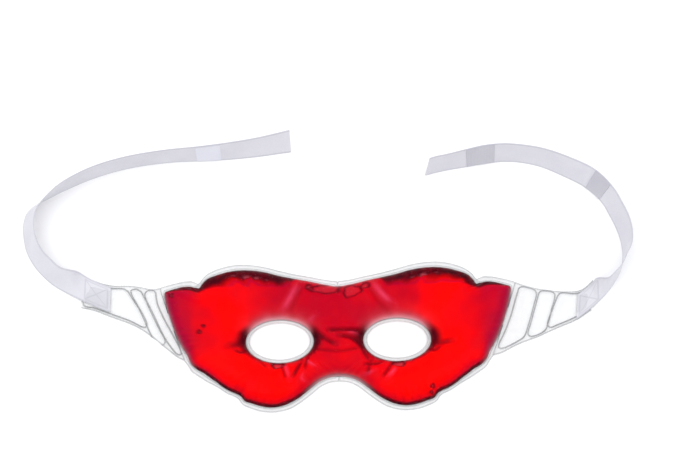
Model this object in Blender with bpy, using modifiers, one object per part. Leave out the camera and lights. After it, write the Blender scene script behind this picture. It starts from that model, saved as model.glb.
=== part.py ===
"""Gel eye mask: two clear films welded round a red gel, a clear tab on each side and a sheer strap on each tab.

Frame: the mask lies on its back on z = 0, front up (+Z), forehead edge towards +Y, the wearer's nose bridge at
x = 0. The origin is the middle of the back face, half way between the eyes. Lengths below are in millimetres.
"""

import math

import bmesh
import bpy
import numpy as np

MM = 0.001

# Films and gel
FILM = 0.4            # thickness of one vinyl film
GAP = 0.3             # clearance between pieces that touch
WELD_Z = 2 * GAP + 0.1  # underside of the front film where it is welded to the back film
GEL_HEIGHT = 8.4      # gel at its thickest
GEL_EDGE = 0.35       # gel at its rim
DOME_WIDTH = 11.0     # distance from the rim to full height
RIM_CLEAR = 1.0       # film bulge starts this far outside the gel rim

# Eye openings
EYE_CENTRE = (35.6, 0.1)
EYE_HOLE = (18.2, 11.4)     # half width and half height of the opening
EYE_WELD = (20.4, 13.6)     # outer edge of the weld ring, where the bulge starts

# Folds
FOLD_X = 2.0          # fold line at the nose bridge
FOLD_GAP = 0.2        # each half stops this far short of the fold line
GEL_CLEAR = 0.7       # and the gel stops this far short of its film's edge there
ROOT_GAP = 0.8        # each side of the line on which a tab flexes
ROOT_TOP = (110.0, 35.2)
ROOT_BOTTOM = (94.3, -10.8)

# Straps
STRAP_WIDTH = 16.0
STRAP_THICK = 0.6
STRAP_CUT = 0.5       # each side of a line on which a strap bends
POCKET_Z = 1.6        # underside of the tab's front film over the welded strap end
INNER_PANEL_Z = 1.35   # the panel beside the gel stays low, so that the tab folds up clear of the pouch
PATCH_THICK = 0.5

# Rim of the gel, right half, from the top of the nose bridge clockwise to the bottom of the nose bridge
GEL_RIM = [
    (0, 34.8), (8, 36), (17, 38), (26, 39.8), (35, 41.8), (45, 44.6), (55, 46), (65, 45.6), (73, 43.6),
    (80, 40.6), (83.5, 37.4), (86, 35), (90, 35.4), (95, 35.7), (100, 34.8), (105, 32.6), (105.6, 27),
    (103.6, 19), (101, 11), (97.8, 3), (94.5, -3.5), (91.8, -8), (89.5, -13), (86, -16.5), (81.5, -19.4),
    (76, -23.3), (71, -27), (66, -30), (60.5, -33), (57, -36.4), (53, -38.2), (47, -40.2), (41, -41),
    (35, -40.4), (29.5, -38.4), (24, -35.2), (18, -30.4), (12, -25.8), (6, -23.2), (0, -22.5),
]

# Outer edge of the welded films, right half, top of the nose bridge to the top of the tab root
FILM_TOP = [
    (0, 38), (8, 38.7), (17, 40.6), (26, 42.5), (35, 45), (45, 47.8), (54, 49.3), (63, 49.3), (71, 47.7),
    (78, 45), (82.5, 41.8), (86, 39), (90, 39.3), (95, 39.2), (101, 37.8),
]
# ... and from the bottom of the tab root to the bottom of the nose bridge
FILM_BOTTOM = [
    (88.8, -17.8), (84, -21.3), (79, -24.6), (73, -28.2), (67.5, -31.8), (61, -35.4), (58, -38.8),
    (54, -41), (48, -43), (41, -43.8), (35, -43.4), (28.5, -41.4), (22.5, -37.6), (16.5, -33), (11, -28.4),
    (5.5, -26), (0, -25.6),
]

# Tab edges, from the root outwards, x counted outwards from the nose bridge
TAB_TOP = {
    "left": [(115, 35.4), (121, 36.6), (127, 37.4), (138, 37.8), (144, 39.1), (150, 41.3), (156.1, 42.8)],
    "right": [(118, 32.2), (124, 30.8), (134, 29.3), (145, 29), (149, 29.9), (153, 32.4), (156.3, 36)],
}
TAB_BOTTOM = {
    "left": [(102, -5.4), (108, -0.2), (114.5, 5.2), (120.7, 9.5), (127, 12.8), (139, 17.5), (149, 21.6), (156.4, 23.4)],
    "right": [(98, -9.8), (110, -4), (122, 0.4), (128.6, 3.4), (135, 6.1), (144, 9.8), (154, 16.4)],
}
# Raised panels on each tab's front film, counted outwards: next to the gel, middle, next to the strap
PANELS = {
    "left": [
        [(112.4, 33), (117.6, 33.6), (114, 27), (109, 14), (102, 0), (98.6, -5), (97.6, -4.4), (101.6, 6), (106, 18), (110.6, 28)],
        [(119.6, 33.6), (124, 34.4), (120.6, 25.4), (115, 12), (112, 6.4), (104, -1.4), (103.6, 1.6), (110, 14), (115.6, 27)],
        [(126.6, 34.6), (138, 35.6), (147, 38), (153.6, 40), (153.6, 26), (146, 23), (132, 17.2), (116.6, 10.6), (123.4, 25)],
    ],
    "right": [
        [(111.8, 31.6), (120.4, 29.4), (117.6, 18), (112.8, 3.4), (110.4, -1.2), (97.4, -7.4), (102, 4), (107, 17.6)],
        [(123.4, 29), (131.8, 28), (129.6, 18), (125, 4.2), (113.6, -0.6), (117, 8), (120.6, 18.6)],
        [(135, 27.4), (145, 27.4), (152.4, 29.6), (151.4, 17.4), (143.6, 12), (128.4, 5.6), (131.4, 16)],
    ],
}

# Each strap, from its end inside the tab: x and y of the lower edge, the lean of the strap from upright
# (-90 is flat with its upper edge towards the loop's inside), and the plan direction it leans in when positive
STRAPS = {
    "left": [
        (-139, 20.5, -90, 270), (-148, 24.2, -90, 270), (-157.3, 28.6, -90, 270), (-166.1, 33.3, -44, 250),
        (-174.2, 38.4, -37, 233), (-181.3, 44.8, -36, 224), (-187.3, 52.2, -34, 213), (-191.8, 60.9, -34, 200),
        (-193.9, 70, -33, 189), (-194.5, 78.1, -34, 176), (-192.4, 86.3, -32, 150), (-186.8, 91.6, -24, 126),
        (-178.6, 96, -11, 119), (-170, 100.5, -2, 115), (-155.7, 107, 4, 112), (-141.8, 111.9, 6, 108),
        (-124.9, 115.9, 7, 102), (-104, 118.5, 9, 95), (-85, 119.2, 13, 92), (-66, 119.9, 20, 92),
        (-47, 121.6, 27, 94), (-28, 124.2, 38, 92),
    ],
    "right": [
        (145, 10.8, -90, -96), (149.5, 14, -90, -96), (155.2, 18.4, -90, -97), (160.2, 22.8, -38, -82),
        (165.5, 28.5, -16, -70), (170.6, 35.3, -8, -40), (174, 41.8, -2, -21), (175.4, 48, 4, -8),
        (175.9, 54, 14, 1), (175.2, 61.1, 21, 10), (173.1, 69.1, 26, 19), (169.7, 77.5, 27, 27), (165, 87, 28, 37),
        (155.1, 97.1, 33, 51), (141.7, 105, 30, 63), (128.1, 111.4, 25, 71), (116, 114.4, 23, 81),
        (105, 115.2, 24, 90), (94.1, 114, 26, 97), (81, 111.9, 22, 99), (68, 109.7, 18, 98),
        (56, 107, 22, 66),
    ],
}
TAB_STATION = 2                       # the strap leaves its tab here
BEND_STATION = {"left": 13, "right": 7}   # the strap stands upright here
# Hook and loop patches on the inner face of the free ends: from and to, as station numbers
PATCHES = {
    "left_loop_patch": ("left", 17.9, 18.7),
    "right_hook_patch": ("right", 17.6, 19.1),
    "right_hook_patch_inner": ("right", 12.15, 12.95),
}


def smooth(points, per_span):
    """Points of a centripetal Catmull-Rom curve through the given rows; the ends are kept."""
    rows = np.array(points, float)
    rows = np.vstack([2 * rows[0] - rows[1], rows, 2 * rows[-1] - rows[-2]])
    out = []
    for i in range(1, len(rows) - 2):
        p0, p1, p2, p3 = rows[i - 1 : i + 3]
        k = [0.0]
        for a, b in ((p0, p1), (p1, p2), (p2, p3)):
            k.append(k[-1] + max(np.linalg.norm((b - a)[:2]), 1e-6) ** 0.5)
        for j in range(per_span):
            t = k[1] + (k[2] - k[1]) * j / per_span
            a1 = (k[1] - t) / (k[1] - k[0]) * p0 + (t - k[0]) / (k[1] - k[0]) * p1
            a2 = (k[2] - t) / (k[2] - k[1]) * p1 + (t - k[1]) / (k[2] - k[1]) * p2
            a3 = (k[3] - t) / (k[3] - k[2]) * p2 + (t - k[2]) / (k[3] - k[2]) * p3
            b1 = (k[2] - t) / (k[2] - k[0]) * a1 + (t - k[0]) / (k[2] - k[0]) * a2
            b2 = (k[3] - t) / (k[3] - k[1]) * a2 + (t - k[1]) / (k[3] - k[1]) * a3
            out.append((k[2] - t) / (k[2] - k[1]) * b1 + (t - k[1]) / (k[2] - k[1]) * b2)
    out.append(rows[-2])
    return np.array(out)


def start_scene():
    for obj in list(bpy.data.objects):
        bpy.data.objects.remove(obj, do_unlink=True)
    groups = []
    for name in ("gel_eye_mask", "cutters"):
        group = bpy.data.collections.new(name)
        bpy.context.scene.collection.children.link(group)
        groups.append(group)
    groups[1].hide_render = True
    return groups


PARTS, CUTTERS = start_scene()


def material(name, colour, roughness, transmission=0.0, alpha=1.0):
    made = bpy.data.materials.new(name)
    made.use_nodes = True
    shader = made.node_tree.nodes["Principled BSDF"]
    shader.inputs["Base Color"].default_value = (*colour, 1)
    shader.inputs["Roughness"].default_value = roughness
    shader.inputs["Metallic"].default_value = 0
    shader.inputs["Transmission Weight"].default_value = transmission
    shader.inputs["Alpha"].default_value = alpha
    made.diffuse_color = (*colour, alpha)
    return made


CLEAR = material("clear_vinyl", (0.92, 0.94, 0.95), 0.12, transmission=0.9, alpha=0.6)
RED = material("red_gel", (0.75, 0.01, 0.02), 0.1, transmission=0.6)
RIBBON = material("sheer_ribbon", (0.86, 0.85, 0.9), 0.6)
HOOK = material("hook_tape", (0.7, 0.69, 0.74), 0.8)


def add(name, mesh, paint, group=PARTS):
    obj = bpy.data.objects.new(name, mesh)
    group.objects.link(obj)
    if group is PARTS:
        mesh.materials.clear()
        mesh.materials.append(paint)
    else:
        obj.hide_render = True
        obj.display_type = "WIRE"
    return obj


def plate(name, loops, bottom, top, paint, group=PARTS):
    """A flat piece: a filled 2D curve through the outline loops (millimetres), extruded from bottom to top."""
    curve = bpy.data.curves.new(name, "CURVE")
    curve.dimensions = "2D"
    curve.fill_mode = "BOTH"
    curve.extrude = (top - bottom) / 2 * MM
    for loop in loops:
        spline = curve.splines.new("POLY")
        spline.points.add(len(loop) - 1)
        for point, (x, y) in zip(spline.points, loop):
            point.co = (x * MM, y * MM, 0, 1)
        spline.use_cyclic_u = True
    guide = bpy.data.objects.new(name + "_outline", curve)
    group.objects.link(guide)
    guide.location.z = (top + bottom) / 2 * MM
    bpy.context.view_layer.update()
    mesh = bpy.data.meshes.new_from_object(guide.evaluated_get(bpy.context.evaluated_depsgraph_get()))
    mesh.name = name
    grid = bmesh.new()
    grid.from_mesh(mesh)
    bmesh.ops.remove_doubles(grid, verts=grid.verts, dist=1e-6)
    bmesh.ops.recalc_face_normals(grid, faces=grid.faces)
    grid.to_mesh(mesh)
    grid.free()
    obj = add(name, mesh, paint, group)
    obj.matrix_world = guide.matrix_world.copy()
    bpy.data.objects.remove(guide, do_unlink=True)
    return obj


def boolean(obj, other, operation):
    change = obj.modifiers.new(other.name, "BOOLEAN")
    change.operation = operation
    change.solver = "EXACT"
    change.object = other
    return change


def to_segments(points, line):
    """Distance from each point to the nearest part of an open line."""
    a, b = line[:-1], line[1:]
    ab = b - a
    t = np.clip(((points[:, None] - a) * ab).sum(-1) / (ab**2).sum(-1), 0, 1)
    return np.linalg.norm(points[:, None] - (a + ab * t[..., None]), axis=-1).min(1)


def ellipse(size, angles):
    return np.stack(
        [EYE_CENTRE[0] + size[0] * np.cos(angles), EYE_CENTRE[1] + size[1] * np.sin(angles)], 1
    )


def root_line(shift):
    """The line on which a tab flexes, moved outwards by shift: its top and bottom points."""
    top, bottom = np.array(ROOT_TOP), np.array(ROOT_BOTTOM)
    along = (top - bottom) / np.linalg.norm(top - bottom)
    out = np.array([along[1], -along[0]])
    return top + out * shift, bottom + out * shift


GEL_LINE = smooth(GEL_RIM, 3)
RING = np.linspace(0, 2 * math.pi, 181)[:-1]
WELD_LINE = ellipse(EYE_WELD, np.append(RING, 2 * math.pi))


def pouch_edge(side):
    """Closed outer edge of one half of the films, the fold line included; side is -1 or 1."""
    top_root, bottom_root = root_line(-ROOT_GAP)
    top = smooth(FILM_TOP + [tuple(top_root)], 2)
    bottom = smooth([tuple(bottom_root)] + FILM_BOTTOM, 2)
    return close_at_fold(np.vstack([top, bottom]), side, FOLD_GAP)


def close_at_fold(line, side, gap):
    """Ends a right-half outline on this half's side of the fold line."""
    stop = FOLD_X * side + gap
    ends = (np.arange(len(line)) == 0) | (np.arange(len(line)) == len(line) - 1)
    line = line[(line[:, 0] > stop + 0.6) | ends]
    line[0, 0] = line[-1, 0] = stop
    return line


def from_eye(loop):
    """Direction of each outline point as seen from the eye's centre."""
    return np.arctan2(loop[:, 1] - EYE_CENTRE[1], loop[:, 0] - EYE_CENTRE[0])


def along_rays(angles, loop):
    """Where rays from the eye's centre meet a closed outline."""
    a, b = loop, np.roll(loop, -1, axis=0)
    out = []
    for angle in angles:
        ray = np.array([math.cos(angle), math.sin(angle)])
        left = np.array([-ray[1], ray[0]])
        sa, sb = (a - EYE_CENTRE) @ left, (b - EYE_CENTRE) @ left
        hit = (sa <= 0) != (sb <= 0)
        t = sa[hit] / (sa[hit] - sb[hit])
        reach = ((a[hit] - EYE_CENTRE) @ ray) * (1 - t) + ((b[hit] - EYE_CENTRE) @ ray) * t
        out.append(EYE_CENTRE + ray * reach.max())
    return np.array(out)


def half_rings(side):
    """Plan points of the gel's rings round the eye opening, with the film's own inner and outer edges."""
    gel = close_at_fold(GEL_LINE.copy(), side, FOLD_GAP + GEL_CLEAR)
    film = pouch_edge(side)
    fold = np.stack([np.full(7, gel[0, 0]), np.linspace(gel[0, 1], gel[-1, 1], 9)[1:-1]], 1)
    corners = np.array([film[0], film[-1], *root_line(-ROOT_GAP)])
    angles = np.sort(np.concatenate([from_eye(gel[::2]), from_eye(gel[-1:]), from_eye(fold), from_eye(corners)]))
    angles = angles[np.append(True, np.diff(angles) > 0.012)]
    outer, rim = along_rays(angles, film), along_rays(angles, gel)
    toward = np.arctan2(np.sin(angles) / EYE_WELD[1], np.cos(angles) / EYE_WELD[0])
    eye = ellipse((EYE_WELD[0] + RIM_CLEAR, EYE_WELD[1] + RIM_CLEAR), toward)
    rings = [eye + (rim - eye) * t for t in (0, 0.05, 0.14, 0.28, 0.5, 0.72, 0.86, 0.95, 1)]
    weld = ellipse(EYE_WELD, toward)
    hole = ellipse(EYE_HOLE, toward)
    folded = rim[:, 0] < gel[0, 0] + 1e-6
    return rings, weld, hole, rim + (outer - rim) * np.where(folded, 0.5, 0.36)[:, None], outer, folded


def gel_points(rings):
    """The gel's top surface on its rings."""
    out = []
    for ring in rings:
        height = WELD_Z + np.maximum(bulge(ring, -RIM_CLEAR * 0.5), GEL_EDGE)
        out.append(np.column_stack([ring, height]))
    return np.array(out)


def outward(points):
    """Unit normals of a surface given as nested closed rings, facing up."""
    along = np.roll(points, -1, axis=1) - np.roll(points, 1, axis=1)
    normal = np.cross(np.gradient(points, axis=0), along)
    normal /= np.linalg.norm(normal, axis=2)[..., None]
    return normal * np.sign(normal[..., 2:])


def bulge(points, rim_shift):
    """Height of the bulge over the weld, from the distance to the gel's rim and to the eye's weld ring."""
    rim = to_segments(points, GEL_LINE)
    eye = to_segments(points, WELD_LINE)
    inside = np.hypot(
        (points[:, 0] - EYE_CENTRE[0]) / EYE_WELD[0], (points[:, 1] - EYE_CENTRE[1]) / EYE_WELD[1]
    ) > 1
    eye = np.where(inside, eye, -eye)
    rim = np.where(within(points, GEL_LINE), rim, -rim)
    reach = np.minimum(rim, eye) + rim_shift
    t = np.clip(reach / DOME_WIDTH, 0, 1)
    return np.sqrt(np.clip(1 - (1 - t) ** 2, 0, 1)) * GEL_HEIGHT


def within(points, line):
    """Whether each point is inside the right half's closed rim (the rim continues to x below the fold)."""
    poly = np.vstack([[(-20, line[0, 1])], line, [(-20, line[-1, 1])]])
    inside = np.zeros(len(points), bool)
    j = len(poly) - 1
    for i in range(len(poly)):
        (xi, yi), (xj, yj) = poly[i], poly[j]
        crosses = (yi > points[:, 1]) != (yj > points[:, 1])
        with np.errstate(divide="ignore", invalid="ignore"):
            at = (xj - xi) * (points[:, 1] - yi) / (yj - yi) + xi
        inside ^= crosses & (points[:, 0] < at)
        j = i
    return inside


def ring_mesh(name, rings, side, bottom=None):
    """Quads between nested closed rings of points; bottom adds a flat underside and makes it a solid."""
    grid = bmesh.new()
    count = len(rings[0])
    if bottom is not None:
        under = [np.column_stack([ring[:, :2], np.full(count, bottom)]) for ring in (rings[-1], rings[0])]
        rings = [*rings, *under]
    rows = [[grid.verts.new((x * side * MM, y * MM, z * MM)) for x, y, z in ring] for ring in rings]
    for a, b in zip(rows, rows[1:] + (rows[:1] if bottom is not None else [])):
        for i in range(count):
            j = (i + 1) % count
            grid.faces.new((a[i], a[j], b[j], b[i]))
    bmesh.ops.recalc_face_normals(grid, faces=grid.faces)
    if bottom is None and sum(face.normal.z for face in grid.faces) < 0:
        bmesh.ops.reverse_faces(grid, faces=grid.faces)
    mesh = bpy.data.meshes.new(name)
    grid.to_mesh(mesh)
    grid.free()
    mesh.shade_smooth()
    return mesh


def gel_half(name, side):
    """The gel of one half: a flat-bottomed cushion round the eye opening, cut square at the fold."""
    return add(name, ring_mesh(name, gel_points(half_rings(side)[0]), side, WELD_Z), RED)


def front_half(name, side):
    """Front film: flat weld flange, bulge over the gel and flat weld ring round the eye, as one skin."""
    rings, weld, hole, flange, outer, folded = half_rings(side)
    gel = gel_points(rings)
    skin = gel + outward(gel) * (GAP + 0.3)
    skin[..., 0] = np.maximum(skin[..., 0], outer[:, 0].min() + 0.4)

    def flat(ring):
        level = np.where(folded, skin[-1, :, 2], WELD_Z)
        return np.column_stack([ring, level])

    def low(ring):
        return np.column_stack([ring, np.full(len(ring), WELD_Z)])

    obj = add(name, ring_mesh(name, [low(hole), low(weld), *skin, flat(flange), flat(outer)], side), CLEAR)
    film = obj.modifiers.new("film", "SOLIDIFY")
    film.thickness = FILM * MM
    film.offset = 1
    return obj


def back_half(name, side):
    outer = pouch_edge(side) * (side, 1)
    return plate(name, [outer, ellipse(EYE_HOLE, RING[::4]) * (side, 1)], 0, FILM, CLEAR)


def tab_edge(hand, side):
    top_root, bottom_root = root_line(ROOT_GAP)
    top = smooth([tuple(top_root)] + TAB_TOP[hand], 2)
    bottom = smooth([tuple(bottom_root)] + TAB_BOTTOM[hand], 2)[::-1]
    return np.vstack([top, bottom]) * (side, 1)


def beside(rows, margin):
    """Plan outline of a flat stretch of strap with a margin on both edges."""
    low, up = rows[:, :2], rows[:, 3:5]
    spread = (up - low) / np.linalg.norm(up - low, axis=1)[:, None]
    return np.vstack([low - spread * margin, (up + spread * margin)[::-1]])


def tab(hand, side):
    """One tab: the back film is flat; the front film has three raised panels, the outer one over the strap's end."""
    edge = tab_edge(hand, side)
    plate(f"{hand}_tab_back_film", [edge], 0, FILM, CLEAR)
    front = plate(f"{hand}_tab_front_film", [edge], WELD_Z, WELD_Z + FILM, CLEAR)
    for number, panel in enumerate(PANELS[hand]):
        high = (INNER_PANEL_Z, POCKET_Z, POCKET_Z + FILM)[number]
        loop = np.array(panel, float) * (side, 1)
        block = plate(f"{hand}_panel_{number}", [loop], WELD_Z + 0.1, high, None, CUTTERS)
        boolean(front, block, "UNION")
    roof = beside(shorten(strap_rows(hand, -0.2, TAB_STATION), 0, 0.9), 1.6)
    pocket = beside(shorten(strap_rows(hand, -0.12, TAB_STATION), 0, -3), 0.5)
    boolean(front, plate(f"{hand}_roof", [roof], WELD_Z + 0.05, POCKET_Z + FILM, None, CUTTERS), "UNION")
    boolean(front, plate(f"{hand}_pocket", [pocket], -1, POCKET_Z, None, CUTTERS), "DIFFERENCE")
    return front


def strap_rows(hand, first, last, step=0.5):
    """Rows of lower-edge and upper-edge points of a strap between two station numbers."""
    stations = [(x, y, lean, to) for x, y, lean, to in STRAPS[hand]]
    fine = smooth(stations, 20)
    count = max(int(round((last - first) / step)), 1)
    rows = []
    for i in range(count + 1):
        place = first + (last - first) * i / count
        at = place * 20
        k = int(np.clip(math.floor(at), 0, len(fine) - 2))
        x, y, lean, to = fine[k] + (fine[k + 1] - fine[k]) * (at - k)
        z = STRAP_THICK / 2 + (WELD_Z - 0.0) * np.clip((TAB_STATION + 1.2 - place) / 1.2, 0, 1)
        lean, to = math.radians(max(lean, -90.0)), math.radians(to)
        reach = STRAP_WIDTH * math.sin(lean)
        rows.append(
            (x, y, z, x + reach * math.cos(to), y + reach * math.sin(to), z + STRAP_WIDTH * math.cos(lean))
        )
    return np.array(rows)


def shorten(rows, start, end):
    """Pulls the first and last row inwards by these distances along the strap."""
    rows = rows.copy()
    for i, j, by in ((0, 1, start), (-1, -2, end)):
        step = rows[j] - rows[i]
        rows[i] = rows[i] + step * by / np.linalg.norm(step[:3])
    return rows


def ribbon(name, rows, thick, paint, raise_by=0.0, inset=0.0):
    """An open strip between the two edges, then Solidify."""
    low, up = rows[:, :3].copy(), rows[:, 3:].copy()
    across = (up - low) / np.linalg.norm(up - low, axis=1)[:, None]
    low, up = low + across * inset, up - across * inset
    if raise_by:
        along = np.gradient((low + up) / 2, axis=0)
        normal = np.cross(along, across)
        normal /= np.linalg.norm(normal, axis=1)[:, None]
        low, up = low + normal * raise_by, up + normal * raise_by
    grid = bmesh.new()
    lines = [[grid.verts.new(point * MM) for point in side] for side in (low, (low + up) / 2, up)]
    for a, b in zip(lines[:-1], lines[1:]):
        for i in range(len(rows) - 1):
            grid.faces.new((a[i], a[i + 1], b[i + 1], b[i]))
    mesh = bpy.data.meshes.new(name)
    grid.to_mesh(mesh)
    grid.free()
    mesh.shade_smooth()
    obj = add(name, mesh, paint)
    skin = obj.modifiers.new("ribbon", "SOLIDIFY")
    skin.thickness = thick * MM
    skin.offset = 0
    return obj


def pivot(obj, place):
    """Moves a piece's origin to a point on its joint's axis, leaving its shape where it is."""
    shift = [value * MM for value in place]
    for vertex in obj.data.vertices:
        vertex.co.x -= shift[0] - obj.location.x
        vertex.co.y -= shift[1] - obj.location.y
        vertex.co.z -= shift[2] - obj.location.z
    obj.location = shift


for hand, side in (("left", -1), ("right", 1)):
    halves = [
        front_half(f"front_film_{hand}", side),
        gel_half(f"gel_fill_{hand}", side),
        back_half(f"back_film_{hand}", side),
    ]
    if side > 0:
        for half in halves:
            pivot(half, (FOLD_X, 0, 0))
    tab(hand, side)

    bend, end = BEND_STATION[hand], len(STRAPS[hand]) - 1
    ribbon(f"{hand}_strap_end", shorten(strap_rows(hand, 0, TAB_STATION), 0, STRAP_CUT), STRAP_THICK, RIBBON)
    near = ribbon(
        f"{hand}_strap", shorten(strap_rows(hand, TAB_STATION, bend), STRAP_CUT, STRAP_CUT), STRAP_THICK, RIBBON
    )
    tail = ribbon(f"{hand}_strap_tail", shorten(strap_rows(hand, bend, end), STRAP_CUT, 0), STRAP_THICK, RIBBON)
    pivot(near, strap_rows(hand, TAB_STATION, TAB_STATION + 1)[0, :3])
    pivot(tail, strap_rows(hand, bend, bend + 1)[0, :3])

for name, (hand, first, last) in PATCHES.items():
    inner = 1 if hand == "left" else -1
    away = STRAP_THICK / 2 + GAP + PATCH_THICK / 2
    ribbon(name, strap_rows(hand, first, last, 0.25), PATCH_THICK, HOOK, raise_by=inner * away, inset=0.8)
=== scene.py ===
"""Looks of the gel eye mask: welded clear films, red gel with wrinkles and bubbles, ribbed tabs and sheer straps.

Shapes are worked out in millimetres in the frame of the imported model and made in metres.
"""

import math

import bpy
import numpy as np
from mathutils import Matrix, Vector


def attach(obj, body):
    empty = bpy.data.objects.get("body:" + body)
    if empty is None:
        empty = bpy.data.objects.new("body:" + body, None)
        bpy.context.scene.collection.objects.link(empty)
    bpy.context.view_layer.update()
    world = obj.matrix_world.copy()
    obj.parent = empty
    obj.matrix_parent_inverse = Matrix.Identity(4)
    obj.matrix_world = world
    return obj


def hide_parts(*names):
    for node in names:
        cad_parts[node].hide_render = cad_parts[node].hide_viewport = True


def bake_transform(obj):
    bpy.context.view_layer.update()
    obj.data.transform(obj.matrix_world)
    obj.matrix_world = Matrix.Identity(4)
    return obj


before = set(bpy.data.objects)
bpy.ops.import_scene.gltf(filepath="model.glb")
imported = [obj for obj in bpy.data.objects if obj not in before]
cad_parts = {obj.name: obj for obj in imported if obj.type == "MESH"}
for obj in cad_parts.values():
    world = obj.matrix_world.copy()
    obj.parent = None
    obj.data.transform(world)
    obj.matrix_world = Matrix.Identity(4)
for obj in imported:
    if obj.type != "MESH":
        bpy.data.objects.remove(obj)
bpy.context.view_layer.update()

MM = 0.001
RNG = np.random.default_rng(7)

# ---------------------------------------------------------------- camera
ELEVATION, ROLL, DISTANCE = math.radians(70), math.radians(1.0), 1.17
TARGET = Vector((0.00182, 0.07393, 0))


def place_camera():
    forward = Vector((0, math.cos(ELEVATION), -math.sin(ELEVATION)))
    right = Vector((1, 0, 0))
    up = right.cross(forward)
    r = right * math.cos(ROLL) - up * math.sin(ROLL)
    u = right * math.sin(ROLL) + up * math.cos(ROLL)
    data = bpy.data.cameras.new("camera")
    data.lens, data.sensor_width, data.sensor_fit = 100, 36, "HORIZONTAL"
    data.clip_start, data.clip_end = 0.01, 50
    obj = bpy.data.objects.new("camera", data)
    bpy.context.scene.collection.objects.link(obj)
    at = TARGET - forward * DISTANCE
    m = Matrix.Identity(4)
    for i in range(3):
        m[i][0], m[i][1], m[i][2], m[i][3] = r[i], u[i], -forward[i], at[i]
    obj.matrix_world = m
    bpy.context.scene.camera = obj


place_camera()

# ---------------------------------------------------------------- outlines, right half, mm
GEL_RIM = [
    (0, 34.8), (8, 36), (17, 38), (26, 39.8), (35, 41.8), (45, 44.6), (55, 46), (65, 45.6), (73, 43.6),
    (80, 40.8), (83.2, 37.6), (85.6, 34.4), (89, 35.8), (94, 36), (99, 34.9), (103, 33.7), (106, 32.4),
    (105.6, 27), (103.6, 19), (101, 11), (97.8, 3), (94.5, -3.5), (91.8, -8), (89.5, -13), (86, -16.5),
    (81.5, -19.2), (78, -21.9), (74, -24.8), (71, -27.2), (66, -30.4), (62, -32.2), (59.4, -33.8), (57, -36.8),
    (53, -38.2), (47, -40.2), (41, -41.1), (35, -40.4), (29.5, -38.4), (24, -35.2), (18, -30.4), (12, -25.8),
    (6, -23.2), (0, -22.5),
]
FILM_TOP = [
    (0, 38), (8, 38.9), (17, 40.9), (26, 42.7), (35, 45), (45, 47.8), (54, 49.3), (63, 49.4), (71, 47.8),
    (78, 45), (82, 41.8), (85.4, 37.6), (88.4, 39.2), (93, 39.5), (101, 37.8), (109.2, 35.6),
]
ROOT_LOW = (93.5, -10.9)
FILM_BOTTOM = [
    (90.8, -14.5), (88.8, -17.8), (84, -21.3), (79, -24.6), (73, -27.8), (67.5, -31.6), (61, -34.8),
    (58, -38.8), (54, -40.9), (48, -43), (41, -43.9), (35, -43.4), (28.5, -41.4), (22.5, -37.6), (16.5, -33),
    (11, -28.6), (5.5, -26.1), (0, -25.6),
]
EYE = np.array([35.6, 0.1])
HOLE = np.array([18.2, 11.4])
WELD = np.array([20.4, 13.6])
BACK_TOP = 0.32       # top of the back film
FLANGE_Z = 0.36       # underside of the front film where it is welded
FILM = 0.3
GEL_H = 8.3


def smooth(points, per_span):
    """Curve through the points. An end on the fold line runs straight across it."""
    rows = np.array(points, float)
    before, after = 2 * rows[0] - rows[1], 2 * rows[-1] - rows[-2]
    if rows.shape[1] == 2 and abs(rows[0, 0]) < 1e-9:
        before = rows[1] * (-1, 1)
    if rows.shape[1] == 2 and abs(rows[-1, 0]) < 1e-9:
        after = rows[-2] * (-1, 1)
    rows = np.vstack([before, rows, after])
    out = []
    for i in range(1, len(rows) - 2):
        p0, p1, p2, p3 = rows[i - 1 : i + 3]
        k = [0.0]
        for a, b in ((p0, p1), (p1, p2), (p2, p3)):
            k.append(k[-1] + max(np.linalg.norm((b - a)[:2]), 1e-6) ** 0.5)
        t = (k[1] + (k[2] - k[1]) * np.arange(per_span) / per_span)[:, None]
        a1 = (k[1] - t) / (k[1] - k[0]) * p0 + (t - k[0]) / (k[1] - k[0]) * p1
        a2 = (k[2] - t) / (k[2] - k[1]) * p1 + (t - k[1]) / (k[2] - k[1]) * p2
        a3 = (k[3] - t) / (k[3] - k[2]) * p2 + (t - k[2]) / (k[3] - k[2]) * p3
        b1 = (k[2] - t) / (k[2] - k[0]) * a1 + (t - k[0]) / (k[2] - k[0]) * a2
        b2 = (k[3] - t) / (k[3] - k[1]) * a2 + (t - k[1]) / (k[3] - k[1]) * a3
        out.append((k[2] - t) / (k[2] - k[1]) * b1 + (t - k[1]) / (k[2] - k[1]) * b2)
    return np.vstack(out + [rows[-2:-1]])


def even(line, step):
    """The same line with its points evenly spaced."""
    reach = np.append(0, np.cumsum(np.linalg.norm(np.diff(line, axis=0), axis=1)))
    count = max(int(round(reach[-1] / step)), 2)
    at = np.linspace(0, reach[-1], count + 1)
    return np.stack([np.interp(at, reach, line[:, i]) for i in range(line.shape[1])], 1)


def to_line(points, line, closed=False):
    """Distance from each point to a line, in chunks."""
    if closed:
        line = np.vstack([line, line[:1]])
    a, ab = line[:-1], line[1:] - line[:-1]
    size = (ab**2).sum(-1)
    out = np.empty(len(points))
    for i in range(0, len(points), 4000):
        p = points[i : i + 4000, None]
        t = np.clip(((p - a) * ab).sum(-1) / size, 0, 1)
        out[i : i + 4000] = np.sqrt((((p - a) - ab * t[..., None]) ** 2).sum(-1)).min(1)
    return out


def inside(points, poly):
    found = np.zeros(len(points), bool)
    j = len(poly) - 1
    for i in range(len(poly)):
        (xi, yi), (xj, yj) = poly[i], poly[j]
        if yi != yj:
            crosses = (yi > points[:, 1]) != (yj > points[:, 1])
            found ^= crosses & (points[:, 0] < (xj - xi) * (points[:, 1] - yi) / (yj - yi) + xi)
        j = i
    return found


def ease(t):
    t = np.clip(t, 0, 1)
    return t * t * (3 - 2 * t)


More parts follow.
